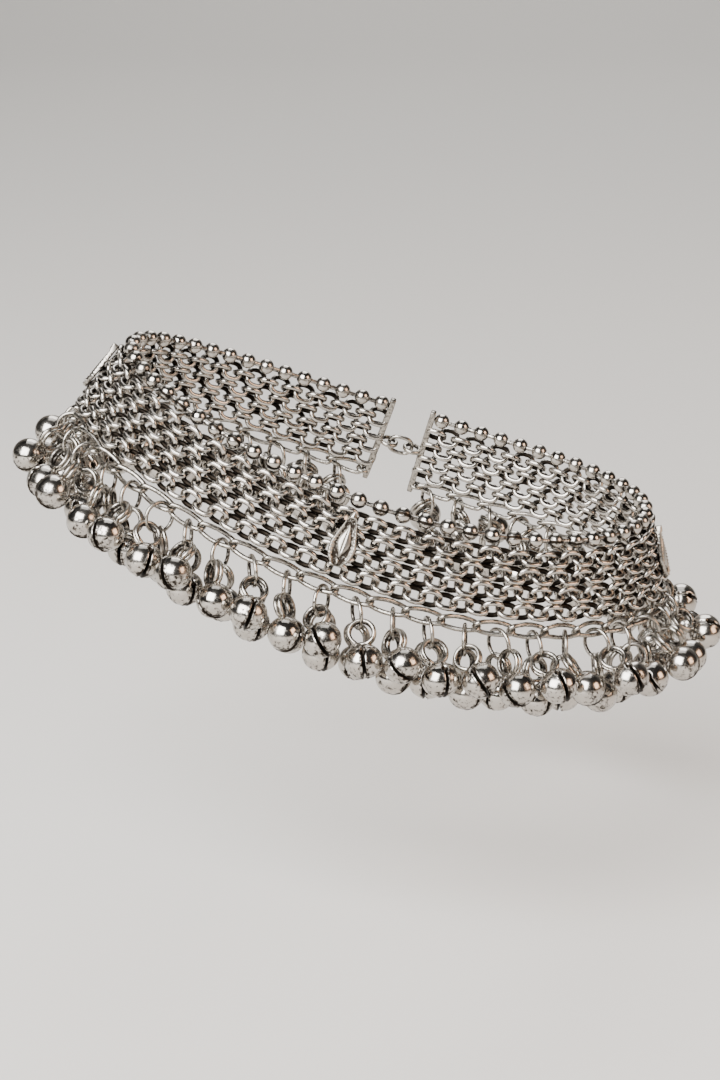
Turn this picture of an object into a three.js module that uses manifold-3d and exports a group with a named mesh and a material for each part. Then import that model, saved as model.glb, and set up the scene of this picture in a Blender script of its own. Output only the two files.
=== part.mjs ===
// A payal anklet as it is worn: a tilted loop of beads with a woven chain band, long links and pairs of bells.
// Millimetres, +Z up, +X towards the heel, -Y towards the outer side of the leg. The origin is the middle of
// the bead loop, where the ankle sits.
import * as THREE from "three";
import { mergeVertices } from "three/addons/utils/BufferGeometryUtils.js";
import Module from "manifold-3d";

const wasm = await Module();
wasm.setup();

// The bead loop: an egg shaped like an ankle, high over the instep and low at the heel.
const LOOP_HALF_LENGTH = 47.6;
const LOOP_HALF_WIDTH = 30.4;
const LOOP_EGG = 0.05;
const INSTEP_RISE = 15.6;
const INNER_RISE = 2.1;
const SIDE_SAG = 2.7;

// The band leans outwards going down, most over the instep. Slant is the distance down it from the beads.
const LEAN_SIDE_DEG = 12;
const LEAN_INSTEP_EXTRA_DEG = 28;
const LEAN_POWER = 2.5;
const BEAD_DIAMETER = 2.8;
const CHAIN_ROWS = 4;
const CHAIN_ROW_DIAMETER = 2.6;
const CHAIN_ROW_FIRST = 3.3;
const CHAIN_ROW_PITCH = 3.15;
const LONG_CHAIN_SLANT = 16;
const ROW_STEPS = 32;
const ROW_SIDES = 8;
const WIRE_SIDES = 3;

// The opening at the inner side of the ankle, with its two end bars.
const CLASP_DEG = 85;
const BAR_FROM_CLASP = 4.2;
const BAR_THICKNESS = 1.2;
const BAR_DEPTH = 1.6;
const BAR_TOP = -1.6;
const BAR_BOTTOM = 17.6;
const GAP = 0.3;
const EYELET_SINK = 0.1;
const CLASP_SPREAD = 1.03;
const EYELET_RADIUS = 1.5;
const EYELET_WIRE = 0.9;
const CLASP_WIRE = 0.8;
const CLASP_SLANT = 8;
const CLASP_HALF_HEIGHT = 1.8;

// Long links, jump rings and bells.
const PAIRS = 44;
const LONG_CHAIN_OPENING = 12.4;
const LONG_LINK_WIRE = 0.75;
const LONG_LINK_WIRE_SPAN = 2.25; // across the link, between the middles of its two sides
const LONG_LINK_TWIST_DEG = 16;
const JUMP_RADIUS = 2.69;
const JUMP_WIRE = 0.63;
const JUMP_ALONG = 1.2;
const JUMP_LIFT = 0.95; // from the middle of the long link's lower side up to the middle of the ring's wire
const EYE_RADIUS = 2.2;
const EYE_WIRE = 0.9;
const EYE_DROP = 1.6;
const BELL_RADIUS = 3.05;
const BELL_HALF_LENGTH = 3.35;
const BELL_DROP = 6.7;

// How each pair hangs, in degrees. ring turns the jump ring about the vertical. The back bell hangs from the
// bottom of the ring and the front one from arc degrees up its outer side; out and along are its swing
// outwards and along the band, and turn is its turn about its own eye. The rows repeat round the anklet.
const HANGING = [
  { ring: 10, back: { out: -7, along: 0, turn: 20 }, front: { arc: 60, out: 41, along: 9, turn: -15 } },
  { ring: -15, back: { out: 12, along: 1, turn: -35 }, front: { arc: 60, out: 56, along: 17, turn: 30 } },
  { ring: 25, back: { out: -5, along: -1, turn: 50 }, front: { arc: 58, out: 43, along: 4, turn: 60 } },
  { ring: 5, back: { out: 14, along: 0, turn: -20 }, front: { arc: 62, out: 58, along: 10, turn: 10 } },
  { ring: -25, back: { out: -8, along: 1, turn: 40 }, front: { arc: 60, out: 43, along: 18, turn: -50 } },
  { ring: 15, back: { out: 12, along: -1, turn: -60 }, front: { arc: 64, out: 62, along: 6, turn: 20 } },
  { ring: -10, back: { out: -6, along: 0, turn: 15 }, front: { arc: 60, out: 38, along: 15, turn: 45 } },
  { ring: 30, back: { out: 13, along: 1, turn: -45 }, front: { arc: 60, out: 55, along: 2, turn: -30 } },
  { ring: 0, back: { out: -8, along: 0, turn: 60 }, front: { arc: 58, out: 40, along: 10, turn: -65 } },
  { ring: -20, back: { out: 12, along: 0, turn: -30 }, front: { arc: 62, out: 60, along: 17, turn: 25 } },
  { ring: 20, back: { out: -6, along: -1, turn: 35 }, front: { arc: 60, out: 37, along: 6, turn: 0 } },
  { ring: -5, back: { out: 14, along: 1, turn: -50 }, front: { arc: 60, out: 57, along: 15, turn: 50 } },
];

// Leaf-shaped shields on the band, by their angle round the loop.
const SHIELDS = [
  { name: "shield_front", angle: 178 },
  { name: "shield_outer", angle: 263.5 },
  { name: "shield_back", angle: 351.5 },
];
const SHIELD_SLANT = 7.2;
const SHIELD_STAND_OFF = 1.65;
const SHIELD_TIP = 4.8;
const SHIELD_FOOT = 4.6;
const SHIELD_HALF_WIDTH = 2.05;
const SHIELD_SHOULDER = -1.6;
const SHIELD_DEPTH = 0.5;
const SHIELD_BEVEL = 0.3;

const UP = new THREE.Vector3(0, 0, 1);
const rad = THREE.MathUtils.degToRad;

const silver = (name) =>
  new THREE.MeshStandardMaterial({ name, color: 0xb9b4ac, roughness: 0.28, metalness: 1 });
const darkSilver = new THREE.MeshStandardMaterial({ color: 0x8f8a82, roughness: 0.4, metalness: 1 });

// ---------------------------------------------------------------------------------------------- the loop

function loopPoint(angle) {
  const c = Math.cos(angle);
  const s = Math.sin(angle);
  return new THREE.Vector3(
    LOOP_HALF_LENGTH * c,
    LOOP_HALF_WIDTH * s * (1 + LOOP_EGG * c),
    -INSTEP_RISE * c + INNER_RISE * s + SIDE_SAG * Math.cos(2 * angle)
  );
}

// The unit vectors at an angle: along the loop, down the band, and out of the band's face.
function bandFrame(angle) {
  const step = 1e-4;
  const along = loopPoint(angle + step).sub(loopPoint(angle - step)).normalize();
  const out = new THREE.Vector3(along.y, -along.x, 0).normalize();
  const share = ((1 - Math.cos(angle)) / 2) ** LEAN_POWER;
  const lean = rad(LEAN_SIDE_DEG + LEAN_INSTEP_EXTRA_DEG * share);
  const down = out.clone().multiplyScalar(Math.sin(lean)).addScaledVector(UP, -Math.cos(lean));
  down.addScaledVector(along, -down.dot(along)).normalize();
  const face = new THREE.Vector3().crossVectors(down, along).normalize();
  if (face.dot(out) < 0) face.negate();
  return { along, down, face };
}

const bandPoint = (angle, slant) => loopPoint(angle).addScaledVector(bandFrame(angle).down, slant);

function rowDirection(angle, slant) {
  const step = 1e-3;
  return bandPoint(angle + step, slant).sub(bandPoint(angle - step, slant)).normalize();
}

// Angles whose row points lie at the given distances along the row, measured once round from the clasp.
function rowAngles(slant, distancesOf) {
  const samples = 4000;
  const angles = [rad(CLASP_DEG)];
  const lengths = [0];
  let last = bandPoint(angles[0], slant);
  for (let i = 1; i < samples; i++) {
    const angle = rad(CLASP_DEG) + (2 * Math.PI * i) / (samples - 1);
    const next = bandPoint(angle, slant);
    angles.push(angle);
    lengths.push(lengths[i - 1] + next.distanceTo(last));
    last = next;
  }
  let at = 1;
  return distancesOf(lengths[samples - 1]).map((distance) => {
    while (at < samples - 1 && lengths[at] < distance) at++;
    const share = (distance - lengths[at - 1]) / (lengths[at] - lengths[at - 1]);
    return angles[at - 1] + share * (angles[at] - angles[at - 1]);
  });
}

// ---------------------------------------------------------------------------------------------- shapes

// Turns a shape's own X, Y and Z to the given directions and puts it at a point.
function placed(geometry, x, y, z, at) {
  return geometry.applyMatrix4(new THREE.Matrix4().makeBasis(x, y, z).setPosition(at));
}

// A closed wire ring in the plane of x and y, turned in it, then stretched along x by straight to each side.
function wireRing({ at, x, y, radius, wire, steps, turn = 0, straight = 0 }) {
  const ring = new THREE.TorusGeometry(radius, wire / 2, WIRE_SIDES, steps).rotateZ(turn);
  const points = ring.attributes.position;
  for (let i = 0; i < points.count; i++) points.setX(i, points.getX(i) + straight * Math.sign(points.getX(i)));
  return placed(ring, x, y, new THREE.Vector3().crossVectors(x, y), at);
}

function solidOf(geometry) {
  const bare = geometry.clone();
  bare.deleteAttribute("normal");
  bare.deleteAttribute("uv");
  const merged = mergeVertices(bare, 1e-4);
  return new wasm.Manifold(
    new wasm.Mesh({
      numProp: 3,
      vertProperties: new Float32Array(merged.attributes.position.array),
      triVerts: new Uint32Array(merged.index.array),
    })
  );
}

// Pieces soldered into one body.
function joined(geometries) {
  const mesh = geometries.map(solidOf).reduce((body, piece) => body.add(piece)).getMesh();
  const geometry = new THREE.BufferGeometry();
  geometry.setAttribute("position", new THREE.BufferAttribute(new Float32Array(mesh.vertProperties), 3));
  geometry.setIndex(new THREE.BufferAttribute(new Uint32Array(mesh.triVerts), 1));
  geometry.computeVertexNormals();
  return geometry;
}

function named(name, geometry, material) {
  const mesh = new THREE.Mesh(geometry, material);
  mesh.name = name;
  return mesh;
}

// ---------------------------------------------------------------------------------------------- the pieces

// A row of beads or fine links: a round tube along its true route, open at the clasp.
function row(name, slant, diameter) {
  const angles = rowAngles(slant, (length) => {
    const end = BAR_FROM_CLASP * (length / rowLength(0)) + BAR_THICKNESS / 2 + GAP;
    const step = (length - 2 * end) / (2 * ROW_STEPS);
    return Array.from({ length: 2 * ROW_STEPS + 1 }, (_, i) => end + step * i);
  });
  const route = new THREE.CatmullRomCurve3(angles.map((angle) => bandPoint(angle, slant)));
  const corners = Array.from({ length: ROW_SIDES }, (_, i) => {
    const turn = (2 * Math.PI * i) / ROW_SIDES;
    return new THREE.Vector2((diameter / 2) * Math.cos(turn), (diameter / 2) * Math.sin(turn));
  });
  const section = new THREE.Shape(corners);
  const tube = new THREE.ExtrudeGeometry(section, { steps: ROW_STEPS, bevelEnabled: false, extrudePath: route });
  return named(name, tube, silver("oxidised_chain"));
}

function rowLength(slant) {
  let length = 0;
  rowAngles(slant, (whole) => {
    length = whole;
    return [];
  });
  return length;
}

function longLinkAngles() {
  return rowAngles(LONG_CHAIN_SLANT, (length) => {
    const pitch = (length - LONG_CHAIN_OPENING) / PAIRS;
    return Array.from({ length: PAIRS }, (_, i) => LONG_CHAIN_OPENING / 2 + pitch * (i + 0.5));
  });
}

// A long link's unit vectors, along itself and down across itself, with its twist about the row.
function linkFrame(index, angle) {
  const along = rowDirection(angle, LONG_CHAIN_SLANT);
  const down = bandFrame(angle).down;
  down.addScaledVector(along, -down.dot(along)).normalize();
  down.applyAxisAngle(along, rad(index % 2 ? -LONG_LINK_TWIST_DEG : LONG_LINK_TWIST_DEG));
  return { along, down };
}

// The long oval links of the lowest row, each ending inside the next.
function longChain(angles) {
  const steps = 6;
  const pitch = (rowLength(LONG_CHAIN_SLANT) - LONG_CHAIN_OPENING) / PAIRS;
  const radius = LONG_LINK_WIRE_SPAN / 2;
  const links = angles.map((angle, index) => {
    const { along, down } = linkFrame(index, angle);
    return wireRing({
      at: bandPoint(angle, LONG_CHAIN_SLANT),
      x: along,
      y: down,
      radius: radius / Math.cos(Math.PI / steps),
      wire: LONG_LINK_WIRE,
      steps,
      straight: pitch / 2 + LONG_LINK_WIRE / 2 - radius,
    });
  });
  return named("long_chain", joined(links), silver("polished_wire"));
}

// A bell and its eye, hanging from a point of the jump ring.
function bell(hook, out, along, swing) {
  const w = out.clone().multiplyScalar(Math.sin(rad(swing.out)));
  w.addScaledVector(along, Math.tan(rad(swing.along)));
  w.addScaledVector(UP, -Math.cos(rad(swing.out))).normalize();
  const u = along.clone().addScaledVector(w, -along.dot(w)).normalize().applyAxisAngle(w, rad(swing.turn));
  const eyeAt = hook.clone().addScaledVector(w, EYE_DROP);
  const eye = wireRing({ at: eyeAt, x: u, y: w, radius: EYE_RADIUS, wire: EYE_WIRE, steps: 5, turn: -Math.PI / 2 });
  const ball = new THREE.SphereGeometry(1, 7, 4).scale(BELL_RADIUS, BELL_RADIUS, BELL_HALF_LENGTH);
  placed(ball, new THREE.Vector3().crossVectors(w, u), w, u, hook.clone().addScaledVector(w, BELL_DROP));
  return [eye, ball];
}

// A jump ring through a long link, with the back and front bells on it.
function bellPair(index, angle) {
  const hanging = HANGING[index % HANGING.length];
  const link = linkFrame(index, angle);
  const along = new THREE.Vector3(link.along.x, link.along.y, 0).normalize();
  const out = new THREE.Vector3(along.y, -along.x, 0);
  const ringOut = out.clone().applyAxisAngle(UP, rad(hanging.ring));
  const centre = bandPoint(angle, LONG_CHAIN_SLANT)
    .addScaledVector(link.along, JUMP_ALONG)
    .addScaledVector(link.down, LONG_LINK_WIRE_SPAN / 2)
    .addScaledVector(UP, JUMP_LIFT - JUMP_RADIUS);
  const hook = (arc) =>
    centre
      .clone()
      .addScaledVector(ringOut, JUMP_RADIUS * Math.sin(rad(arc)))
      .addScaledVector(UP, -JUMP_RADIUS * Math.cos(rad(arc)));
  const jumpRing = wireRing({ at: centre, x: ringOut, y: UP, radius: JUMP_RADIUS, wire: JUMP_WIRE, steps: 8 });
  const bells = [
    ...bell(hook(0), out, along, hanging.back),
    ...bell(hook(hanging.front.arc), out, along, hanging.front),
  ];
  const number = String(index + 1).padStart(2, "0");
  return named(`bell_pair_${number}`, joined([jumpRing, ...bells]), silver("polished_silver"));
}

// A pointed leaf with a bevelled edge, standing on the face of the band.
function shield({ name, angle }) {
  const leaf = new THREE.Shape();
  leaf.moveTo(0, SHIELD_TIP);
  for (const side of [-1, 1]) {
    const first = side < 0 ? 1 : -1;
    const bend = SHIELD_HALF_WIDTH * side;
    if (first > 0) {
      leaf.bezierCurveTo(bend * 0.5, SHIELD_TIP * 0.6, bend, 1, bend, SHIELD_SHOULDER);
      leaf.quadraticCurveTo(bend, -SHIELD_FOOT, 0, -SHIELD_FOOT);
    } else {
      leaf.quadraticCurveTo(bend, -SHIELD_FOOT, bend, SHIELD_SHOULDER);
      leaf.bezierCurveTo(bend, 1, bend * 0.5, SHIELD_TIP * 0.6, 0, SHIELD_TIP);
    }
  }
  const plate = new THREE.ExtrudeGeometry(leaf, {
    depth: SHIELD_DEPTH,
    curveSegments: 5,
    bevelThickness: SHIELD_BEVEL,
    bevelSize: SHIELD_BEVEL,
    bevelSegments: 1,
  });
  const { along, down, face } = bandFrame(rad(angle));
  const at = bandPoint(rad(angle), SHIELD_SLANT).addScaledVector(face, SHIELD_STAND_OFF + SHIELD_BEVEL);
  placed(plate, along, down.clone().negate(), face, at);
  return named(name, plate, darkSilver);
}

// An end bar with the eyelet soldered to its inner side. side is 1 where the rows start and -1 where they end.
function endBar(name, side) {
  const [start, finish] = rowAngles(0, (length) => [BAR_FROM_CLASP, length - BAR_FROM_CLASP]);
  const angle = side > 0 ? start : finish;
  const { along, down, face } = bandFrame(angle);
  const bar = new THREE.BoxGeometry(BAR_THICKNESS, BAR_BOTTOM - BAR_TOP, BAR_DEPTH);
  placed(bar, along, down.clone().negate(), face, bandPoint(angle, (BAR_TOP + BAR_BOTTOM) / 2));
  const inset = BAR_THICKNESS / 2 + EYELET_RADIUS - EYELET_SINK;
  const at = bandPoint(angle, CLASP_SLANT).addScaledVector(along, -side * inset);
  const eyelet = wireRing({ at, x: along, y: face, radius: EYELET_RADIUS, wire: EYELET_WIRE, steps: 8 });
  return named(name, joined([bar, eyelet]), darkSilver);
}

// The plain link that closes the anklet through both eyelets.
function clasp() {
  const angle = rad(CLASP_DEG);
  const { along, down } = bandFrame(angle);
  const reach = BAR_FROM_CLASP * CLASP_SPREAD - BAR_THICKNESS / 2 - EYELET_RADIUS + EYELET_SINK;
  const radius = CLASP_HALF_HEIGHT;
  const at = bandPoint(angle, CLASP_SLANT);
  const straight = reach - radius;
  const link = wireRing({ at, x: along, y: down, radius, wire: CLASP_WIRE, steps: 8, turn: Math.PI / 8, straight });
  return named("clasp_link", link, darkSilver);
}

const anklet = new THREE.Group();
anklet.add(row("ball_chain", 0, BEAD_DIAMETER));
for (let i = 0; i < CHAIN_ROWS; i++) {
  anklet.add(row(`chain_row_${i + 1}`, CHAIN_ROW_FIRST + CHAIN_ROW_PITCH * i, CHAIN_ROW_DIAMETER));
}
const links = longLinkAngles();
anklet.add(longChain(links));
links.forEach((angle, index) => anklet.add(bellPair(index, angle)));
SHIELDS.forEach((place) => anklet.add(shield(place)));
anklet.add(endBar("end_bar_front", 1), endBar("end_bar_back", -1), clasp());

export default anklet;
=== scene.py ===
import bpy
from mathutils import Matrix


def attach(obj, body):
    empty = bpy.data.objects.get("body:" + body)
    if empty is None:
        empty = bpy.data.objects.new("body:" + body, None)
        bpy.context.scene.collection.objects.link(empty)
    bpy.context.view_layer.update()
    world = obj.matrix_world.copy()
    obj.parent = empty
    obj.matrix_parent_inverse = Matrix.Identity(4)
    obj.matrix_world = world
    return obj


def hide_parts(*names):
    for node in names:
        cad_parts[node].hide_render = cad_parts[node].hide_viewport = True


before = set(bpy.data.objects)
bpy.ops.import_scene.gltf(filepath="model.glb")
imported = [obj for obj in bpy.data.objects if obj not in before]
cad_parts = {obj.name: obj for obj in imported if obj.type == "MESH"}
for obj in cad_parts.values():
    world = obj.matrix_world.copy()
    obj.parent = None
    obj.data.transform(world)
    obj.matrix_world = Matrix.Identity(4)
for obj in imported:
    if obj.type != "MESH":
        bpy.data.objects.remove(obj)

"""A payal anklet in its worn form: bead edge, woven chain band, leaf shields, oval links and hanging bells.

Laid out as an add-on: sizes and colours are property groups, each group of like pieces is an operator, and a
sidebar panel lists them. Sizes in the tables and constants are millimetres and degrees; meshes are in metres.
"""
import math

import bpy
import numpy as np
from bpy.props import FloatProperty, IntProperty, PointerProperty, StringProperty
from bpy.types import Operator, Panel, PropertyGroup

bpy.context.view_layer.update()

bl_info = {
    "name": "Payal anklet",
    "version": (1, 0, 0),
    "blender": (4, 5, 0),
    "location": "3D View > Sidebar > Anklet",
    "description": "Builds a worn oxidised silver anklet with bells round its packed frame",
    "category": "Add Mesh",
}

MM = 0.001
UP = np.array([0.0, 0.0, 1.0])

# The bead loop, an egg shaped like an ankle, high over the instep: the frame's own route, in millimetres.
LOOP_HALF_LENGTH, LOOP_HALF_WIDTH, LOOP_EGG = 47.6, 30.4, 0.05
INSTEP_RISE, INNER_RISE, SIDE_SAG = 15.6, 2.1, 2.7
LEAN_SIDE, LEAN_INSTEP_EXTRA, LEAN_POWER = 12.0, 28.0, 2.5
CLASP_ANGLE = 85.0
BAR_FROM_CLASP, BAR_THICKNESS, BAR_DEPTH, BAR_TOP, BAR_BOTTOM = 4.2, 1.2, 1.6, -1.6, 17.6
EYELET_RADIUS, EYELET_WIRE, CLASP_WIRE, CLASP_SLANT, CLASP_HALF_HEIGHT = 1.5, 0.9, 0.8, 8.0, 1.8
CHAIN_ROWS, CHAIN_ROW_FIRST, CHAIN_ROW_PITCH, FIRST_LINK = 4, 3.3, 3.15, 6.0
LONG_CHAIN_SLANT, LONG_CHAIN_OPENING, PAIRS, END_RING = 16.0, 12.4, 44, 5.6
LINK_TWIST, LINK_WIRE_SPAN, CURB_TWIST, END_RING_RADIUS = 16.0, 2.25, 56.0, 1.05
JUMP_RADIUS, JUMP_ALONG, JUMP_LIFT = 2.69, 1.2, 0.95
EYE_DROP, BELL_DROP, EYE_RADIUS, EYE_CROSSING = 1.6, 6.7, 2.2, 0.22
EYELET_SINK, CLASP_SPREAD = 0.1, 1.03

# A woven link: its lean out of the band in degrees and the spread of that in radians, and its outline. Each row is
# shifted by a share of a link from the one above, which fades away over a share of the row at each end.
WOVEN_LEAN, WOVEN_LEAN_SPREAD, WOVEN_RADIUS, WOVEN_STRAIGHT, WOVEN_SQUARE = 45.0, 0.06, 1.58, 0.2, 0.85
WOVEN_SHIFT, WOVEN_FADE = 0.76, 0.12

# A bell: the power that rounds its domes, its seam groove and open slit, the lip along them, and its two holes.
DOME_POWER, SEAM_WIDTH, SEAM_DEPTH, SLIT_WIDTH, SLIT_DEPTH = 2.3, 0.15, 0.22, 0.21, 0.95
LIP_AT, LIP_WIDTH, LIP_HEIGHT = 0.42, 0.16, 0.10
HOLE_TURN, HOLE_RADIUS, HOLE_DEPTH, RIM_RADIUS, RIM_HEIGHT = 72.0, 0.48, 0.9, 0.74, 0.12

# How each pair hangs, in degrees, as in the frame: the jump ring's turn; the back bell's swing outwards, along
# the band and turn about its eye; how far up the ring's outer side the front bell hangs, and the same for it.
HANGING = [
    # ring  back: out along turn   front: arc out along turn
    (10, (-7, 0, 20), 60, (41, 9, -15)),
    (-15, (12, 1, -35), 60, (56, 17, 30)),
    (25, (-5, -1, 50), 58, (43, 4, 60)),
    (5, (14, 0, -20), 62, (58, 10, 10)),
    (-25, (-8, 1, 40), 60, (43, 18, -50)),
    (15, (12, -1, -60), 64, (62, 6, 20)),
    (-10, (-6, 0, 15), 60, (38, 15, 45)),
    (30, (13, 1, -45), 60, (55, 2, -30)),
    (0, (-8, 0, 60), 58, (40, 10, -65)),
    (-20, (12, 0, -30), 62, (60, 17, 25)),
    (20, (-6, -1, 35), 60, (37, 6, 0)),
    (-5, (14, 1, -50), 60, (57, 15, 50)),
]
SHIELDS = {"shield_front": 178.0, "shield_outer": 263.5, "shield_back": 351.5}
SHIELD_SLANT, SHIELD_STAND_OFF = 7.2, 1.65
SHIELD_TOP, SHIELD_LENGTH, SHIELD_HALF_WIDTH, SHIELD_LEAST_WIDTH = 5.1, 10.0, 2.35, 0.04
SHIELD_WIDEST, SHIELD_CLOSING, SHIELD_FIELD, SHIELD_BACK = 0.62, 0.385, 0.42, 0.12
ROOM_COLOUR, ROOM_STRENGTH = "#6E6C6A", 0.22


class AnkletSizes(PropertyGroup):
    bead: FloatProperty(name="Bead", description="Width of a bead, in mm", default=3.0)
    beads: IntProperty(name="Beads", description="Beads round the top edge", default=61)
    woven_wire: FloatProperty(name="Woven wire", description="Wire of the woven chain, in mm", default=1.04)
    woven_links: IntProperty(name="Woven links", description="Links in each woven row", default=98)
    oval_wire: FloatProperty(name="Oval link wire", description="Wire of the oval links, in mm", default=0.84)
    ring_wire: FloatProperty(name="Jump ring wire", description="Wire of the jump rings, in mm", default=0.72)
    eye_wire: FloatProperty(name="Eye wire", description="Wire of the bells' eyes, in mm", default=0.82)
    bell_radius: FloatProperty(name="Bell radius", description="Radius of a bell at its seam, in mm", default=3.05)
    bell_half: FloatProperty(name="Bell half length", description="Seam to dome top, in mm", default=3.35)


class AnkletFinish(PropertyGroup):
    silver: StringProperty(name="Silver", description="Polished silver plate, sRGB", default="#B9B4AD")
    wire: StringProperty(name="Wire", description="Rubbed silver wire, sRGB", default="#A8A39B")
    # the same black also paints shade, in the woven band's depth and in the bells' slits and holes
    oxide_and_shade: StringProperty(name="Oxide", description="Black silver sulphide in recesses, sRGB", default="#26211C")
    tarnish: StringProperty(name="Tarnish", description="Warm grey film on the silver, sRGB", default="#8A8278")


class AnkletStage(PropertyGroup):
    floor: StringProperty(name="Floor", description="Pale floor, sRGB", default="#D9D6D1")
    distance: FloatProperty(name="Camera distance", description="From the loop's middle", default=0.46,
                            subtype="DISTANCE", unit="LENGTH")
    pitch: FloatProperty(name="Camera pitch", description="How far the camera looks down",
                         default=math.radians(14.5), subtype="ANGLE", unit="ROTATION")
    floor_drop: FloatProperty(name="Floor drop", description="From the loop's middle down to the floor",
                              default=0.088, subtype="DISTANCE", unit="LENGTH")
    lens: FloatProperty(name="Lens", description="Focal length, in mm on a 36 mm sensor", default=82.5)
    shift_x: FloatProperty(name="Shift across", description="Lens shift, in sensor widths", default=-0.0285)
    shift_y: FloatProperty(name="Shift up", description="Lens shift, in sensor widths", default=-0.0915)


# ------------------------------------------------------------------------------------------ vectors and the loop


def unit(v):
    """v divided by its own length."""
    return v / np.linalg.norm(v, axis=-1, keepdims=True)


def dot(a, b):
    """The sum of the products of a and b, kept as a last axis of one."""
    return np.sum(a * b, axis=-1, keepdims=True)


def turned(v, axis, angle):
    """v turned about the unit axis by angle, by Rodrigues' formula."""
    c, s = np.cos(angle), np.sin(angle)
    return v * c + np.cross(axis, v) * s + axis * dot(v, axis) * (1 - c)


def loop_point(angle):
    """The bead loop: an ellipse widened towards the heel, tilted, and sagging at the two sides."""
    c, s = np.cos(angle), np.sin(angle)
    z = -INSTEP_RISE * c + INNER_RISE * s + SIDE_SAG * np.cos(2 * angle)
    return np.stack([LOOP_HALF_LENGTH * c, LOOP_HALF_WIDTH * s * (1 + LOOP_EGG * c), z], -1)


def band_frame(angle):
    """Unit vectors along the loop, down the leaning band, and out of its face."""
    along = unit(loop_point(angle + 1e-4) - loop_point(angle - 1e-4))
    out = unit(np.stack([along[..., 1], -along[..., 0], 0 * along[..., 0]], -1))
    lean = np.radians(LEAN_SIDE + LEAN_INSTEP_EXTRA * ((1 - np.cos(angle)) / 2) ** LEAN_POWER)[..., None]
    down = np.sin(lean) * out - np.cos(lean) * UP
    down = unit(down - dot(down, along) * along)
    face = unit(np.cross(down, along))
    return along, down, np.where(dot(face, out) < 0, -face, face)


def band_point(angle, slant):
    """The point of the band that lies slant down its lean from the bead loop."""
    return loop_point(angle) + slant * band_frame(angle)[1]


def row_direction(angle, slant):
    """Unit vectors along a row, from the step between two near points of it."""
    return unit(band_point(angle + 1e-3, slant) - band_point(angle - 1e-3, slant))


def row_angles(slant, distances_of):
    """Angles at the distances that distances_of(row length) gives, measured along the row from the clasp."""
    angle = math.radians(CLASP_ANGLE) + np.linspace(0, 2 * math.pi, 4000)
    points = band_point(angle, slant)
    length = np.concatenate([[0], np.cumsum(np.linalg.norm(np.diff(points, axis=0), axis=1))])
    return np.interp(distances_of(length[-1]), length, angle)


def spread(slant, opening, count):
    """Angles of count equal places along the row, with the opening left free at the clasp."""
    return row_angles(slant, lambda whole: opening / 2 + (whole - opening) * (np.arange(count) + 0.5) / count)


# ------------------------------------------------------------------------------------------------- mesh building


def torus_faces(rows, columns):
    """Four-sided faces of a grid that closes both ways."""
    r, c = np.meshgrid(np.arange(rows), np.arange(columns), indexing="ij")
    r2, c2 = (r + 1) % rows, (c + 1) % columns
    return np.stack([r * columns + c, r2 * columns + c, r2 * columns + c2, r * columns + c2], -1).reshape(-1, 4)


def globe_faces(rows, columns):
    """Faces of a grid that closes round its columns, with one pole point before its rows and one after them.
    At the poles a face's first corner is given twice, which solid() drops."""
    r, c = np.meshgrid(np.arange(rows - 1), np.arange(columns), indexing="ij")
    c2 = (c + 1) % columns
    first = 1
    body = np.stack([first + r * columns + c, first + (r + 1) * columns + c,
                     first + (r + 1) * columns + c2, first + r * columns + c2], -1).reshape(-1, 4)
    c = np.arange(columns)
    c2 = (c + 1) % columns
    low, high = 0, 1 + rows * columns
    last = first + (rows - 1) * columns
    start = np.stack([np.full(columns, low), np.full(columns, low), first + c, first + c2], -1)
    finish = np.stack([np.full(columns, high), np.full(columns, high), last + c2, last + c], -1)
    return np.concatenate([start, body, finish])


def faces_out(points, faces):
    """Turns the faces round if the volume they enclose comes out negative."""
    a, b, c, d = (points[faces[:, i]] for i in range(4))
    volume = np.sum(np.cross(a, b) * c) + np.sum(np.cross(a, c) * d)
    return faces if volume > 0 else faces[:, ::-1]


def copies(points, oxide_and_shade, faces, slot=0):
    """Joins N copies of one shape: points (N, V, 3), oxide and painted shade (N, V) and the faces of the first
    copy.
    """
    faces = faces_out(points[0], faces)
    count, size = oxide_and_shade.shape
    every = faces[None] + size * np.arange(count)[:, None, None]
    return points.reshape(-1, 3), oxide_and_shade.reshape(-1), every.reshape(-1, 4), slot


def solid(name, parts, materials, slot, *nodes):
    """One mesh object from parts (points, oxide and painted shade, faces, material), in place of the CAD nodes it
    stands for.
    """
    start, points, oxide_and_shade, faces, kinds = 0, [], [], [], []
    for part_points, part_oxide, part_faces, kind in parts:
        points.append(part_points)
        oxide_and_shade.append(part_oxide)
        faces.append(part_faces + start)
        kinds.append(np.full(len(part_faces), kind))
        start += len(part_points)
    points, faces = np.concatenate(points) * MM, np.concatenate(faces)
    mesh = bpy.data.meshes.new(name)
    # a repeated corner sits first or last, whichever way round its face was turned
    corners = [f[1:] if f[0] == f[1] else f[:3] if f[2] == f[3] else f for f in faces.tolist()]
    mesh.from_pydata(points.tolist(), [], corners)
    mesh.polygons.foreach_set("use_smooth", np.ones(len(corners), bool))
    mesh.polygons.foreach_set("material_index", np.concatenate(kinds).astype(np.int32))
    attribute = mesh.attributes.new("oxide_and_shade", "FLOAT", "POINT")
    attribute.data.foreach_set("value", np.clip(np.concatenate(oxide_and_shade), 0, 1).astype(np.float32))
    for material in materials:
        mesh.materials.append(material)
    mesh.update()
    if mesh.validate():
        raise RuntimeError(name + " has a bad face")
    piece = bpy.data.objects.new(name, mesh)
    bpy.context.scene.collection.objects.link(piece)
    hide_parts(*nodes)
    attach(piece, "root")
    return piece


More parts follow.
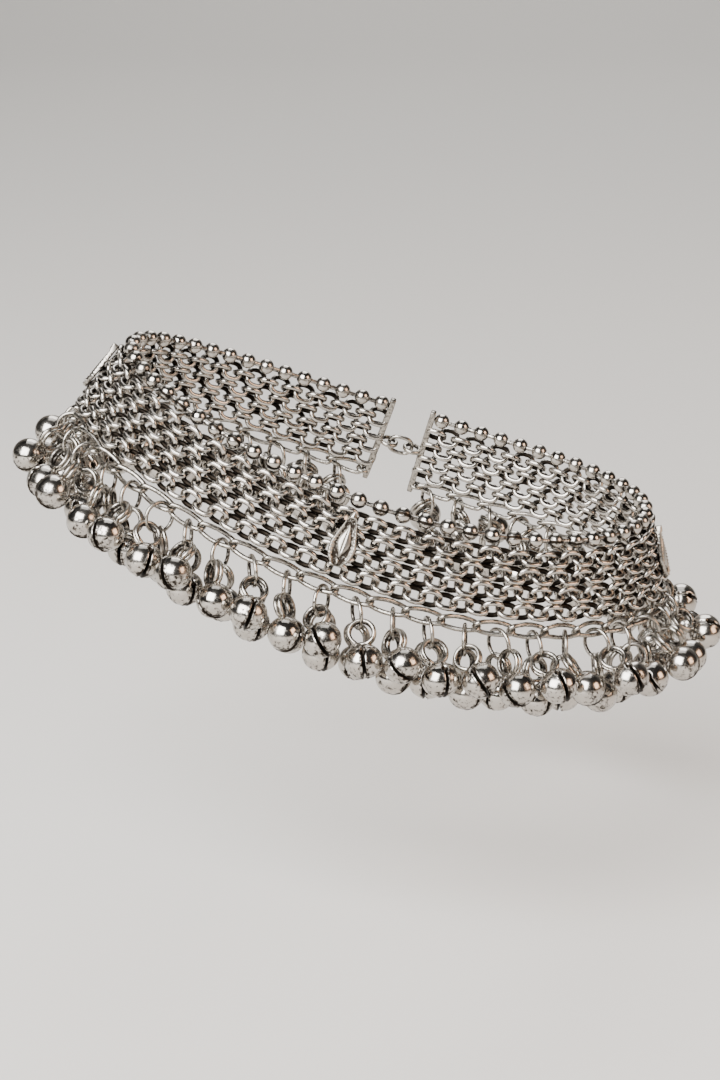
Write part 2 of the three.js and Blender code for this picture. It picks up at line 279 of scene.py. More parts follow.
def wire(path, normal, radius, sides, facing=None):
    """Closed wire along each closed path. path is (N, M, 3): at every point a circle of the given radius stands
    in the plane of the ring's own normal and the direction across it. Oxide lies on the side towards the ring's
    middle; where facing is given, black lies on whatever looks into the depth of the band, partly oxide and
    partly painted shade of that depth."""
    tangent = unit(np.roll(path, -1, 1) - np.roll(path, 1, 1))
    normal = normal[:, None]
    normal = unit(normal - dot(normal, tangent) * tangent)
    across = np.cross(tangent, normal)
    turn = 2 * math.pi * np.arange(sides) / sides
    section = (np.cos(turn)[:, None] * normal[:, :, None] + np.sin(turn)[:, None] * across[:, :, None])
    points = path[:, :, None] + radius * section
    middle = path.mean(1, keepdims=True)
    inward = unit(middle - path)[:, :, None]
    oxide_and_shade = 0.42 + 0.18 * dot(section, inward)[..., 0]
    if facing is not None:
        # painted shade and oxide: black on the faces that look into the band's depth, the front of a deep wire and
        # the back of a near one
        depth = dot(path - middle, facing[:, None])[..., 0][:, :, None]
        turned_to = dot(section, facing[:, None, None])[..., 0]
        oxide_and_shade = 0.53 - 0.42 * depth * turned_to - 0.10 * np.abs(turned_to) + 0.14 * dot(section, inward)[..., 0]
    count, steps = path.shape[:2]
    return points.reshape(count, -1, 3), oxide_and_shade.reshape(count, -1), torus_faces(steps, sides)


def power(value, exponent):
    """Signed power, which squares up a circle when its sine and cosine are raised to less than one."""
    return np.sign(value) * np.abs(value) ** exponent


def half_of(turn):
    """Which half of a link a turn lies on, from -1 to 1: 2.4 times its cosine, held at one."""
    return np.clip(2.4 * np.cos(turn), -1, 1)


def ring_path(at, x, y, radius, steps, straight=0.0, square=1.0):
    """Closed oval paths (N, steps, 3): a circle in x and y, its sine and cosine raised to the power square, and
    its two halves pushed apart along x by straight."""
    turn = 2 * math.pi * (np.arange(steps) + 0.5) / steps
    far = radius * power(np.cos(turn), square) + straight * half_of(turn)
    return at[:, None] + far[:, None] * x[:, None] + (radius * power(np.sin(turn), square))[:, None] * y[:, None]


def globe(at, axis, side, profile, columns, oxide_of):
    """Surfaces of revolution (N copies): the profile's rows (distance along axis, radius) carried round it, with
    a point at each end. oxide_of(row, column angle) gives the oxide of the rows."""
    third = np.cross(axis, side)
    turn = 2 * math.pi * np.arange(columns) / columns
    round_ = np.cos(turn)[:, None] * side[:, None] + np.sin(turn)[:, None] * third[:, None]
    rows = profile[1:-1]
    body = (at[:, None, None] + rows[:, 0][:, None, None] * axis[:, None, None]
            + rows[:, 1][:, None, None] * round_[:, None])
    ends = [at[:, None] + profile[i, 0] * axis[:, None] for i in (0, -1)]
    count = len(at)
    points = np.concatenate([ends[0], body.reshape(count, -1, 3), ends[1]], 1)
    shade = np.broadcast_to(oxide_of(rows, turn), (count, len(rows), columns)).reshape(count, -1)
    oxide_and_shade = np.concatenate([shade[:, :1], shade, shade[:, -1:]], 1)
    return points, oxide_and_shade, globe_faces(len(rows), columns)


# ----------------------------------------------------------------------------------------------------- materials


def linear(colour):
    """An sRGB hex colour as linear red, green, blue and alpha."""
    parts = [int(colour[i:i + 2], 16) / 255 for i in (1, 3, 5)]
    return [p / 12.92 if p <= 0.04045 else ((p + 0.055) / 1.055) ** 2.4 for p in parts] + [1.0]


def node(tree, kind, settings=(), **links):
    """Adds a node. settings are its properties and named or numbered inputs; links are sockets into its inputs."""
    new = tree.nodes.new(kind)
    for key, value in dict(settings).items():
        if isinstance(key, str) and hasattr(new, key):
            setattr(new, key, value)
        else:
            new.inputs[key].default_value = value
    for key, socket in links.items():
        at = int(key[1:]) if key[0] == "_" else key.replace("_", " ")
        tree.links.new(socket, new.inputs[at])
    return new


def oxide_and_painted_shade_metal(name, bright, roughness, spot_mm, spots, scratches):
    """Polished plate over blackened recesses and painted shade. A point attribute says where the black lies:
    oxide, and painted shade in the woven band's depth and the bells' slits and holes. Noise of spot_mm breaks its
    edge and scatters pits, and a second noise drifts the roughness as a rubbed polish does."""
    finish = bpy.context.scene.anklet_finish
    material = bpy.data.materials.new(name)
    material.use_nodes = True
    tree = material.node_tree
    shader = tree.nodes["Principled BSDF"]
    shader.inputs["Metallic"].default_value = 1.0
    place = node(tree, "ShaderNodeTexCoord").outputs["Object"]
    oxide_and_shade = node(tree, "ShaderNodeAttribute", {"attribute_name": "oxide_and_shade"}).outputs["Fac"]
    fine = node(tree, "ShaderNodeTexNoise", {"Scale": 1000 / spot_mm, "Detail": 3.0, "Roughness": 0.6},
                Vector=place)
    lift = node(tree, "ShaderNodeMath", {"operation": "MULTIPLY_ADD", 1: spots, 2: -0.5 * spots},
                _0=fine.outputs["Fac"])
    black = node(tree, "ShaderNodeMath", {"operation": "ADD"}, _0=lift.outputs[0], _1=oxide_and_shade)
    amount = node(tree, "ShaderNodeMapRange", {"From Min": 0.42, "From Max": 0.62}, Value=black.outputs[0])
    share = amount.outputs["Result"]
    cloud = node(tree, "ShaderNodeTexNoise", {"Scale": 1000 / 2.6, "Detail": 2.0}, Vector=place)
    tarnish = node(tree, "ShaderNodeMapRange", {"From Min": 0.35, "From Max": 0.75, "To Min": 0.0, "To Max": 0.28},
                   Value=cloud.outputs["Fac"])
    warm = node(tree, "ShaderNodeMix", {"data_type": "RGBA", 6: linear(bright), 7: linear(finish.tarnish)},
                _0=tarnish.outputs["Result"])
    colour = node(tree, "ShaderNodeMix", {"data_type": "RGBA", 7: linear(finish.oxide_and_shade)},
                  _0=share, _6=warm.outputs[2])
    tree.links.new(colour.outputs[2], shader.inputs["Base Color"])
    rub = node(tree, "ShaderNodeMapRange", {"From Min": 0.3, "From Max": 0.7, "To Min": roughness * 0.75,
                                            "To Max": roughness * 1.5}, Value=cloud.outputs["Fac"])
    rough = node(tree, "ShaderNodeMix", {"data_type": "FLOAT", 3: 0.48}, _0=share, _2=rub.outputs["Result"])
    tree.links.new(rough.outputs[0], shader.inputs["Roughness"])
    bump = node(tree, "ShaderNodeBump", {"Strength": scratches, "Distance": 0.00004}, Height=black.outputs[0])
    tree.links.new(bump.outputs["Normal"], shader.inputs["Normal"])
    return material


def finishes():
    """The anklet's metals, made once: colour, roughness, width of the spots in mm, their strength, scratches."""
    finish = bpy.context.scene.anklet_finish
    made = {
        # smooth domes that mirror the room softly, pitted with black
        "polished_bell_silver": (finish.silver, 0.16, 0.7, 1.2, 0.12),
        # small bright highlights, black at the seam and the bored ends
        "polished_bead_silver": (finish.silver, 0.18, 0.5, 0.8, 0.12),
        # rubbed wire, a little greyer and duller than the domes
        "drawn_silver_wire": (finish.wire, 0.22, 0.5, 0.7, 0.15),
        # bright tops over black gaps, the black partly oxide and partly painted shade of the band's depth
        "rubbed_oxidised_chain": (finish.silver, 0.2, 0.4, 0.7, 0.2),
        # a soft cast skin that keeps its black in the sunken field
        "cast_oxidised_silver": (finish.wire, 0.28, 0.4, 0.9, 0.3),
    }
    return {name: bpy.data.materials.get(name) or oxide_and_painted_shade_metal(name, *look) for name, look in made.items()}


# ------------------------------------------------------------------------------------------------- the operators


class ANKLET_OT_bead_edge(Operator):
    """Round beads joined by short bars, along the top edge"""
    bl_idname = "anklet.bead_edge"
    bl_label = "Bead edge"

    def execute(self, context):
        sizes = context.scene.anklet_sizes
        angle = spread(0.0, 2 * BAR_FROM_CLASP, sizes.beads)
        at, axis = band_point(angle, 0.0), row_direction(angle, 0.0)
        face = band_frame(angle)[2]
        random = np.random.default_rng(7)
        side = turned(face, axis, random.uniform(-1.2, 1.2, (len(angle), 1)))
        radius = sizes.bead / 2
        pole = np.linspace(0, math.pi, 11)
        profile = np.stack([-radius * np.cos(pole), radius * np.sin(pole)], 1)

        def seam(rows, turn):
            """Oxide of a bead: a bell curve along one seam line, and a steep rise to its two ends."""
            near = np.minimum(np.abs(turn - math.pi / 3), 2 * math.pi - np.abs(turn - math.pi / 3))
            ends = np.abs(rows[:, 0][:, None]) / radius
            return 0.26 + 0.9 * np.exp(-(near / 0.16) ** 2) + 0.6 * ends ** 5

        beads = globe(at, axis, side, profile, 20, seam)
        half, thick, thin = 0.5 * np.linalg.norm(at[1] - at[0]), 0.5, 0.47
        bar = np.array([[-half, 0], [-half, thick], [-half * 0.5, thin],
                        [half * 0.5, thin], [half, thick], [half, 0]])
        middle, lay = (at[1:] + at[:-1]) / 2, unit(at[1:] - at[:-1])

        def neck(rows, turn):
            """Oxide of a bar: least at its middle, and more by the square of the way to its ends."""
            return 0.48 + 0.1 * (rows[:, :1] / half) ** 2 + 0 * turn

        bars = globe(middle, lay, unit(np.cross(lay, UP)), bar, 8, neck)
        look = finishes()
        solid("bead_edge", [copies(*beads), copies(*bars)], [look["polished_bead_silver"]],
              "polished_beads", "ball_chain")
        return {"FINISHED"}


class ANKLET_OT_woven_band(Operator):
    """Four rows of fine links, each leaning the other way from the one before it"""
    bl_idname = "anklet.woven_band"
    bl_label = "Woven band"

    def execute(self, context):
        sizes = context.scene.anklet_sizes
        count = sizes.woven_links
        look = finishes()
        lean = math.radians(WOVEN_LEAN)
        share = np.linspace(0, 1, count)
        # a repeat is two links, so away from the end bars each row lies a little under half a repeat on from the
        # row above; the shift fades to nothing at both ends by a smooth step
        inner = np.clip(np.minimum(share, 1 - share) / WOVEN_FADE, 0, 1)
        inner = inner * inner * (3 - 2 * inner)
        for row in range(CHAIN_ROWS):
            slant = CHAIN_ROW_FIRST + CHAIN_ROW_PITCH * row
            shift = (row * WOVEN_SHIFT + 1) % 2 - 1

            def places(whole, shift=shift):
                """Equal steps between the first and last link, each moved on by the row's shift."""
                pitch = (whole - 2 * FIRST_LINK) / (count - 1)
                return FIRST_LINK + pitch * (np.arange(count) + shift * inner)

            angle = row_angles(slant, places)
            at, along = band_point(angle, slant), row_direction(angle, slant)
            _, down, face = band_frame(angle)
            sign = np.where(np.arange(len(angle)) % 2, 1.0, -1.0)[:, None]
            random = np.random.default_rng(20 + row)
            tilt = lean + random.normal(0, WOVEN_LEAN_SPREAD, (len(angle), 1))
            across = sign * np.cos(tilt) * down + np.sin(tilt) * face
            path = ring_path(at, along, across, WOVEN_RADIUS, 16,
                             straight=WOVEN_STRAIGHT, square=WOVEN_SQUARE)
            rings = wire(path, unit(np.cross(along, across)), sizes.woven_wire / 2, 6, facing=face)
            solid(f"woven_row_{row + 1}", [copies(*rings)], [look["rubbed_oxidised_chain"]],
                  "oxidised_chain", f"chain_row_{row + 1}")
        return {"FINISHED"}


def link_frame(index, angle):
    """A long link's unit vectors, along itself and down across itself, with its twist about the row."""
    along = row_direction(angle, LONG_CHAIN_SLANT)
    down = band_frame(angle)[1]
    down = unit(down - dot(down, along) * along)
    twist = np.radians(np.where(index % 2, -LINK_TWIST, LINK_TWIST))[:, None]
    return along, turned(down, along, twist)


class ANKLET_OT_oval_links(Operator):
    """Long oval links, each twisted so that its ends hook through its neighbours, and a ring at each end bar"""
    bl_idname = "anklet.oval_links"
    bl_label = "Oval links"

    def execute(self, context):
        sizes = context.scene.anklet_sizes
        angle = spread(LONG_CHAIN_SLANT, LONG_CHAIN_OPENING, PAIRS)
        at = band_point(angle, LONG_CHAIN_SLANT)
        along = row_direction(angle, LONG_CHAIN_SLANT)
        _, down, face = band_frame(angle)
        steps, sides = 36, 8
        turn = 2 * math.pi * (np.arange(steps) + 0.5) / steps
        pitch = np.linalg.norm(at[1] - at[0])
        radius = LINK_WIRE_SPAN / 2
        straight = pitch / 2 + sizes.oval_wire / 2 - radius
        far = radius * np.cos(turn) + straight * half_of(turn)
        # the curb twist: the link's plane turns about its length from one end to the other
        curb = math.radians(CURB_TWIST) * far / (radius + straight)
        high = radius * np.sin(turn)
        path = (at[:, None] + far[:, None] * along[:, None]
                + (high * np.cos(curb))[:, None] * down[:, None] + (high * np.sin(curb))[:, None] * face[:, None])
        points, oxide_and_shade, faces = wire(path, face, sizes.oval_wire / 2, sides)
        angle = row_angles(LONG_CHAIN_SLANT, lambda whole: np.array([END_RING, whole - END_RING]))
        ends = ring_path(band_point(angle, LONG_CHAIN_SLANT), row_direction(angle, LONG_CHAIN_SLANT),
                         band_frame(angle)[2], END_RING_RADIUS, 20)
        end_rings = wire(ends, band_frame(angle)[1], sizes.ring_wire / 2, sides)
        look = finishes()
        solid("oval_links", [copies(points, oxide_and_shade, faces), copies(*end_rings)], [look["drawn_silver_wire"]],
              "polished_wire", "long_chain")
        return {"FINISHED"}


def bell_grid(sizes):
    """One bell about its long axis, as (along, radius, angle, oxide and painted shade) on a grid, with its hanging
    side at angle 0.
    Two domes meet at a seam: the radius is the root of one less a power of the way along. Round the hanging side
    the seam is a fine groove and round the lower side an open slit, both bell curves across the seam, and a smooth
    step changes one to the other at two round punched holes, each with a raised lip. What is cut deeper is
    blacker: oxide in the fine groove, and in the slit and the holes painted shade of the bell's hollow inside as
    well as oxide. The lower side is blacker too, and so is a band either side of the slit."""
    columns = 52
    rows = np.array([-0.985, -0.94, -0.86, -0.74, -0.6, -0.46, -0.34, -0.25, -0.18, -0.12, -0.075, -0.035,
                     0.0, 0.035, 0.075, 0.12, 0.18, 0.25, 0.34, 0.46, 0.6, 0.74, 0.86, 0.94, 0.985])
    x, turn = np.meshgrid(rows * sizes.bell_half, 2 * math.pi * np.arange(columns) / columns, indexing="ij")
    from_top = np.minimum(turn, 2 * math.pi - turn)
    dome = sizes.bell_radius * np.sqrt(1 - np.abs(x / sizes.bell_half) ** DOME_POWER)
    hole_turn = math.radians(HOLE_TURN)
    open_ = 1 / (1 + np.exp(-(from_top - hole_turn) / 0.05))
    groove = SEAM_DEPTH * np.exp(-(x / SEAM_WIDTH) ** 2) * (1 - open_)
    groove = groove + SLIT_DEPTH * np.exp(-(x / SLIT_WIDTH) ** 4) * open_
    lip = LIP_HEIGHT * np.exp(-((np.abs(x) - LIP_AT) / LIP_WIDTH) ** 2)
    away = np.hypot(x, (from_top - hole_turn) * sizes.bell_radius)
    hole = HOLE_DEPTH * np.exp(-(away / HOLE_RADIUS) ** 4)
    rim = RIM_HEIGHT * np.exp(-((away - RIM_RADIUS) / LIP_WIDTH) ** 2)
    radius = dome - np.maximum(groove, hole) + np.maximum(lip, rim)
    below = np.clip((from_top - 1.2) / 1.9, 0, 1)
    # painted shade: the slit and the holes are shallow cuts painted black for the dark hollow inside the bell; the
    # fine groove's black is oxide
    oxide_and_shade = 0.22 + 0.24 * below + 1.1 * (np.maximum(groove, hole) - 0.04).clip(0) ** 0.5
    oxide_and_shade += 0.22 * np.exp(-((np.abs(x) - 0.55) / 0.25) ** 2) * open_
    return x, radius, turn, oxide_and_shade


class ANKLET_OT_bell_pairs(Operator):
    """A jump ring on each oval link, with two closed round bells hanging from it by wire eyes"""
    bl_idname = "anklet.bell_pairs"
    bl_label = "Bell pairs"

    def execute(self, context):
        sizes = context.scene.anklet_sizes
        angle = spread(LONG_CHAIN_SLANT, LONG_CHAIN_OPENING, PAIRS)
        index = np.arange(PAIRS)
        link_along, link_down = link_frame(index, angle)
        along = unit(link_along * [1, 1, 0])
        out = np.stack([along[:, 1], -along[:, 0], 0 * along[:, 0]], -1)
        rows = [HANGING[i % len(HANGING)] for i in index]
        ring_turn = np.radians([[row[0]] for row in rows])
        ring_out = turned(out, UP, ring_turn)
        centre = (band_point(angle, LONG_CHAIN_SLANT) + JUMP_ALONG * link_along
                  + LINK_WIRE_SPAN / 2 * link_down + (JUMP_LIFT - JUMP_RADIUS) * UP)
        up = np.broadcast_to(UP, out.shape)
        path = ring_path(centre, ring_out, up, JUMP_RADIUS, 28)
        jump = wire(path, unit(np.cross(ring_out, up)), sizes.ring_wire / 2, 8)
        grid = bell_grid(sizes)
        hung = []
        for arc, swing in ((0 * ring_turn, [row[1] for row in rows]),
                           (np.radians([[row[2]] for row in rows]), [row[3] for row in rows])):
            swing = np.radians(swing)
            lean, side, spin = swing[:, :1], swing[:, 1:2], swing[:, 2:]
            hook = centre + JUMP_RADIUS * (np.sin(arc) * ring_out - np.cos(arc) * UP)
            down = unit(np.sin(lean) * out + np.tan(side) * along - np.cos(lean) * UP)
            axis = turned(unit(along - dot(along, down) * down), down, spin)
            hung.append((self.eye(sizes, hook + EYE_DROP * down, axis, down),
                         self.bell(grid, hook + BELL_DROP * down, axis, down)))
        look = finishes()
        materials = [look["polished_bell_silver"], look["drawn_silver_wire"]]
        for i in index:
            parts = [self.one(jump, i, 1)]
            for eye, bell in hung:
                parts += [self.one(eye, i, 1), self.one(bell, i, 0)]
            number = f"{i + 1:02d}"
            solid(f"ringing_pair_{number}", parts, materials, "polished_bells", f"bell_pair_{number}")
        return {"FINISHED"}

    @staticmethod
    def one(shape, index, material):
        """One copy out of a shape made for every pair."""
        points, oxide_and_shade, faces = shape
        return copies(points[index][None], oxide_and_shade[index][None], faces, material)

    @staticmethod
    def eye(sizes, at, axis, down):
        """A double turn of wire: a circle gone round twice that steps sideways by one wire at the bell. Its
        radius swells on one coil and shrinks on the other there, and the two coils run together."""
        steps = 56
        turn = 4 * math.pi * (np.arange(steps) + 0.5) / steps
        step = np.clip(3.0 * np.cos(turn / 2), -1, 1)
        radius = EYE_RADIUS + EYE_CROSSING * np.sin(turn / 2) * (1 - np.abs(step))
        normal = np.cross(axis, down)
        path = (at[:, None] + (radius * np.sin(turn))[:, None] * axis[:, None]
                - (radius * np.cos(turn))[:, None] * down[:, None]
                + (0.5 * sizes.eye_wire * step)[:, None] * normal[:, None])
        return wire(path, normal, sizes.eye_wire / 2, 8)

    @staticmethod
    def bell(grid, at, axis, down):
        """The bell's grid carried to each place: along its axis, and round it from the hanging side."""
        x, radius, turn, oxide_and_shade = grid
        third = np.cross(axis, down)
        body = (at[:, None, None] + x[..., None] * axis[:, None, None]
                - (radius * np.cos(turn))[..., None] * down[:, None, None]
                + (radius * np.sin(turn))[..., None] * third[:, None, None])
        count = len(at)
        tip = np.abs(x).max() * 1.012
        points = np.concatenate([(at - tip * axis)[:, None], body.reshape(count, -1, 3),
                                 (at + tip * axis)[:, None]], 1)
        shade = np.concatenate([oxide_and_shade[:1, 0], oxide_and_shade.reshape(-1), oxide_and_shade[-1:, 0]])
        return points, np.broadcast_to(shade, (count, len(shade))), globe_faces(*x.shape)


def leaf_outline(t):
    """A shield's height over its middle and its half width, in mm, at the share t of its length from the tip. It
    widens by a power under one down to its widest place, then closes by the root of one less a power."""
    height = SHIELD_TOP - SHIELD_LENGTH * t
    widening = np.minimum(1.0, (t / SHIELD_WIDEST) ** 0.75)
    closing = np.sqrt(np.clip(1 - ((t - SHIELD_WIDEST) / SHIELD_CLOSING).clip(0) ** 2.4, 0, 1))
    return height, SHIELD_HALF_WIDTH * widening * closing + SHIELD_LEAST_WIDTH


def leaf_relief(t, q, height):
    """How far a shield's front stands out, in mm, at the share t of its length and q of its half width. Bell
    curves give the rim and the row of grains, a cosine beads the rim, a rounded ridge with a fine vein gives the
    leaf, the tip is a plain dome, and all of it falls to nothing at the edge."""
    edge = np.abs(q)
    rim = np.exp(-((edge - 0.84) / 0.15) ** 2)
    beads = 0.75 + 0.25 * np.cos(2 * math.pi * height / 0.62)
    leaf_half = 0.5 * np.clip(np.sin(math.pi * ((t - 0.24) / 0.6).clip(0, 1)), 0, 1)
    leaf = np.clip(1 - (edge / (leaf_half + 1e-3)) ** 2, 0, 1) ** 0.5 * (leaf_half > 0.02)
    vein = 0.12 * np.exp(-(edge / 0.05) ** 2) * leaf
    grains = np.clip(np.cos(9.0 * q), 0, 1) * np.exp(-((t - 0.93) / 0.035) ** 2)
    relief = SHIELD_FIELD + 0.42 * rim * beads + 0.42 * leaf - vein + 0.25 * grains
    cap = np.clip((0.17 - t) / 0.04, 0, 1)
    dome = 0.55 * np.sqrt(np.clip(1 - q ** 2, 0, 1))
    relief = (1 - cap) * relief + cap * (0.55 + dome)
    return relief * np.clip((1 - edge) / 0.05, 0, 1) ** 0.5


def plate_faces(rows, columns):
    """Faces of a closed plate: a front sheet, a back sheet turned round, and a wall between their edges."""
    r, c = np.meshgrid(np.arange(rows - 1), np.arange(columns - 1), indexing="ij")
    sheet = np.stack([r * columns + c, (r + 1) * columns + c,
                      (r + 1) * columns + c + 1, r * columns + c + 1], -1).reshape(-1, 4)
    size = rows * columns
    ring = np.concatenate([np.arange(columns), np.arange(2, rows + 1) * columns - 1,
                           size - 2 - np.arange(columns - 1), np.arange(rows - 2, 0, -1) * columns])
    after = np.roll(ring, -1)
    wall = np.stack([ring, after, after + size, ring + size], -1)
    return np.concatenate([sheet, sheet[:, ::-1] + size, wall])


class ANKLET_OT_leaf_shields(Operator):
    """Pointed leaf shields with a beaded rim, a sunken field, a raised leaf and a smooth tip"""
    bl_idname = "anklet.leaf_shields"
    bl_label = "Leaf shields"

    def execute(self, context):
        look = finishes()
        rows, columns = 60, 41
        t, q = np.linspace(0, 1, rows)[:, None], np.linspace(-1, 1, columns)[None]
        height, width = leaf_outline(t)
        relief = leaf_relief(t, q, height)
        # the sunken field is black, and what stands 0.3 mm above it is bright
        oxide_and_shade = 0.66 - 0.6 * np.clip((relief - SHIELD_FIELD) / 0.3, 0, 1)
        shade = np.concatenate([oxide_and_shade.reshape(-1), np.full(rows * columns, 0.6)])
        faces = plate_faces(rows, columns)
        for name, angle in SHIELDS.items():
            angle = np.array([math.radians(angle)])
            along, down, face = (v[0] for v in band_frame(angle))
            at = band_point(angle, SHIELD_SLANT)[0] + SHIELD_STAND_OFF * face
            flat = at + (q * width)[..., None] * along - (height + 0 * q)[..., None] * down
            front, back = flat + relief[..., None] * face, flat - SHIELD_BACK * face
            points = np.concatenate([front.reshape(-1, 3), back.reshape(-1, 3)])
            solid(name.replace("shield", "leaf_shield"), [copies(points[None], shade[None], faces)],
                  [look["cast_oxidised_silver"]], "cast_shield", name)
        return {"FINISHED"}


class ANKLET_OT_fastener(Operator):
    """Two flat end bars with soldered eyelets, and the plain link that joins them"""
    bl_idname = "anklet.fastener"
    bl_label = "Fastener"

    def execute(self, context):
        look = finishes()
        angles = row_angles(0.0, lambda whole: np.array([BAR_FROM_CLASP, whole - BAR_FROM_CLASP]))
        for name, angle, side in (("end_bar_front", angles[0], 1), ("end_bar_back", angles[1], -1)):
            angle = np.array([angle])
            along, down, face = band_frame(angle)
            half = np.array([BAR_THICKNESS, BAR_BOTTOM - BAR_TOP, BAR_DEPTH]) / 2
            at = band_point(angle, (BAR_TOP + BAR_BOTTOM) / 2)
            bar = self.rounded_bar(at, along, down, face, half)
            inset = BAR_THICKNESS / 2 + EYELET_RADIUS - EYELET_SINK
            at = band_point(angle, CLASP_SLANT) - side * inset * along
            eyelet = wire(ring_path(at, along, face, EYELET_RADIUS, 28), down, EYELET_WIRE / 2, 10)
            solid(name.replace("end_bar", "band_end"), [copies(*bar), copies(*eyelet)],
                  [look["drawn_silver_wire"]], "clasp_metal", name)
        angle = np.array([math.radians(CLASP_ANGLE)])
        along, down, face = band_frame(angle)
        reach = BAR_FROM_CLASP * CLASP_SPREAD - BAR_THICKNESS / 2 - EYELET_RADIUS + EYELET_SINK
        path = ring_path(band_point(angle, CLASP_SLANT), along, down, CLASP_HALF_HEIGHT, 36,
                         straight=reach - CLASP_HALF_HEIGHT)
        link = wire(path, face, CLASP_WIRE / 2, 10)
        solid("closing_link", [copies(*link)], [look["drawn_silver_wire"]], "clasp_metal", "clasp_link")
        return {"FINISHED"}

    @staticmethod
    def rounded_bar(at, x, y, z, half):
        """A superellipsoid with its poles at the bar's two ends: powers of sine and cosine well under one make
        its sides flat and its edges round."""
        rows, columns = 17, 24
        tall = np.linspace(-math.pi / 2, math.pi / 2, rows + 2)[1:-1][:, None]
        turn = (2 * math.pi * np.arange(columns) / columns)[None]
        wide = power(np.cos(tall), 0.12)
        px, pz = wide * power(np.cos(turn), 0.35) * half[0], wide * power(np.sin(turn), 0.35) * half[2]
        py = power(np.sin(tall), 0.5) * half[1] + 0 * turn
        body = at + px[..., None] * x + py[..., None] * y + pz[..., None] * z
        points = np.concatenate([at - half[1] * y, body.reshape(-1, 3), at + half[1] * y])
        return points[None], np.full((1, len(points)), 0.46), globe_faces(rows, columns)


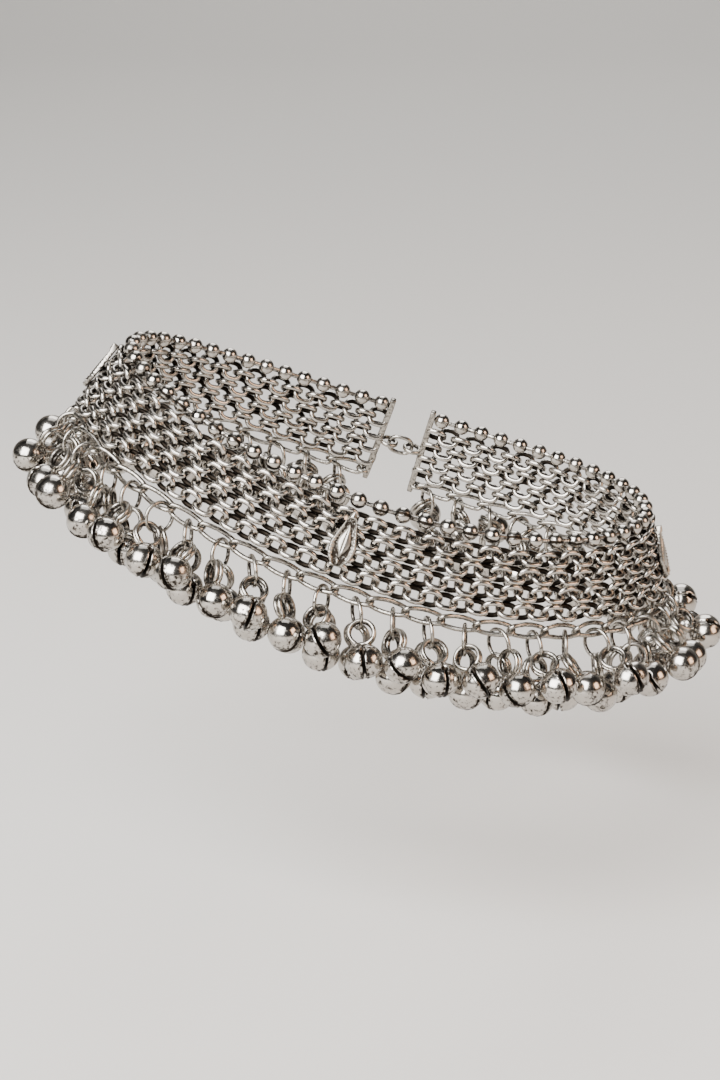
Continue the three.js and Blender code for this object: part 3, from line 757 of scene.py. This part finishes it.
class ANKLET_OT_stage(Operator):
    """Pale floor that curves up behind, soft lights and the camera"""
    bl_idname = "anklet.stage"
    bl_label = "Stage"

    def execute(self, context):
        stage = context.scene.anklet_stage
        self.floor(stage)
        self.lights()
        camera = bpy.data.cameras.new("view_camera")
        # the loop's middle stands a little right of the middle of the frame and above it
        camera.sensor_width = 36.0
        camera.lens = stage.lens
        camera.shift_x, camera.shift_y = stage.shift_x, stage.shift_y
        camera.clip_end = 50.0
        eye = bpy.data.objects.new("view_camera", camera)
        eye.location = (0, -stage.distance * math.cos(stage.pitch), stage.distance * math.sin(stage.pitch))
        eye.rotation_euler = (math.pi / 2 - stage.pitch, 0, 0)
        bpy.context.scene.collection.objects.link(eye)
        bpy.context.scene.camera = eye
        return {"FINISHED"}

    @staticmethod
    def floor(stage):
        """A sheet carried along a line: flat in front, a quarter circle, then a wall."""
        front, middle, depth, bend, high, wide = -3.0, -1.0, 1.6, 0.8, 3.0, 4.0
        arc = np.linspace(0, math.pi / 2, 16)
        y = np.concatenate([[front, middle], depth + bend * np.sin(arc), [depth + bend]])
        z = np.concatenate([[0, 0], bend - bend * np.cos(arc), [high]]) - stage.floor_drop
        x = np.array([-wide, wide])
        points = np.stack(np.broadcast_arrays(x[None], y[:, None], z[:, None]), -1).reshape(-1, 3)
        r = np.arange(len(y) - 1)
        faces = np.stack([2 * r, 2 * r + 1, 2 * r + 3, 2 * r + 2], -1)
        mesh = bpy.data.meshes.new("pale_floor")
        mesh.from_pydata(points.tolist(), [], faces.tolist())
        mesh.polygons.foreach_set("use_smooth", np.ones(len(faces), bool))
        paint = bpy.data.materials.new("matt_pale_paper")
        paint.use_nodes = True
        shader = paint.node_tree.nodes["Principled BSDF"]
        shader.inputs["Base Color"].default_value = linear(stage.floor)
        shader.inputs["Roughness"].default_value = 0.9
        mesh.materials.append(paint)
        ground = bpy.data.objects.new("pale_floor", mesh)
        bpy.context.scene.collection.objects.link(ground)

    @staticmethod
    def lights():
        """A dim room with soft boxes: a large one high at the left, a narrower warm one at the right, one overhead
        and one behind for the backdrop."""
        world = bpy.data.worlds.new("dim_room")
        world.use_nodes = True
        world.node_tree.nodes["Background"].inputs["Color"].default_value = linear(ROOM_COLOUR)
        world.node_tree.nodes["Background"].inputs["Strength"].default_value = ROOM_STRENGTH
        bpy.context.scene.world = world
        boxes = [
            # name, place, size, power, colour
            ("soft_box_left", (-0.42, -0.66, 0.55), 0.85, 34.0, "#FFFFFF"),
            ("soft_box_right", (0.78, -0.35, 0.34), 0.5, 4.5, "#FFD6B6"),
            ("soft_box_over", (0.05, 0.45, 1.0), 0.7, 3.0, "#FFFFFF"),
            ("soft_box_behind", (0.2, 1.7, 1.5), 1.3, 26.0, "#FFFFFF"),
        ]
        for name, place, size, power, colour in boxes:
            light = bpy.data.lights.new(name, "AREA")
            light.shape, light.size, light.energy = "SQUARE", size, power
            light.color = linear(colour)[:3]
            lamp = bpy.data.objects.new(name, light)
            lamp.location = place
            # turned so that it shines at the loop's middle
            x, y, z = place
            lamp.rotation_euler = (math.atan2(math.hypot(x, y), z), 0, math.atan2(y, x) + math.pi / 2)
            bpy.context.scene.collection.objects.link(lamp)


class ANKLET_PT_sidebar(Panel):
    """Sizes, colours and pieces of the anklet"""
    bl_idname = "ANKLET_PT_sidebar"
    bl_label = "Payal anklet"
    bl_space_type = "VIEW_3D"
    bl_region_type = "UI"
    bl_category = "Anklet"

    def draw(self, context):
        for group in GROUPS:
            box = self.layout.box()
            values = getattr(context.scene, group)
            for name in GROUPS[group].__annotations__:
                box.prop(values, name)
        for step in STEPS:
            self.layout.operator(step.bl_idname)


GROUPS = {"anklet_sizes": AnkletSizes, "anklet_finish": AnkletFinish, "anklet_stage": AnkletStage}
STEPS = (ANKLET_OT_stage, ANKLET_OT_bead_edge, ANKLET_OT_woven_band, ANKLET_OT_oval_links,
         ANKLET_OT_bell_pairs, ANKLET_OT_leaf_shields, ANKLET_OT_fastener)


def register():
    for group in GROUPS.values():
        bpy.utils.register_class(group)
    for name, group in GROUPS.items():
        setattr(bpy.types.Scene, name, PointerProperty(type=group))
    for kind in (*STEPS, ANKLET_PT_sidebar):
        bpy.utils.register_class(kind)


def unregister():
    for kind in (ANKLET_PT_sidebar, *reversed(STEPS)):
        bpy.utils.unregister_class(kind)
    for name, group in GROUPS.items():
        delattr(bpy.types.Scene, name)
        bpy.utils.unregister_class(group)


def main():
    register()
    for step in STEPS:
        area, name = step.bl_idname.split(".")
        getattr(getattr(bpy.ops, area), name)()


if __name__ == "__main__":
    main()
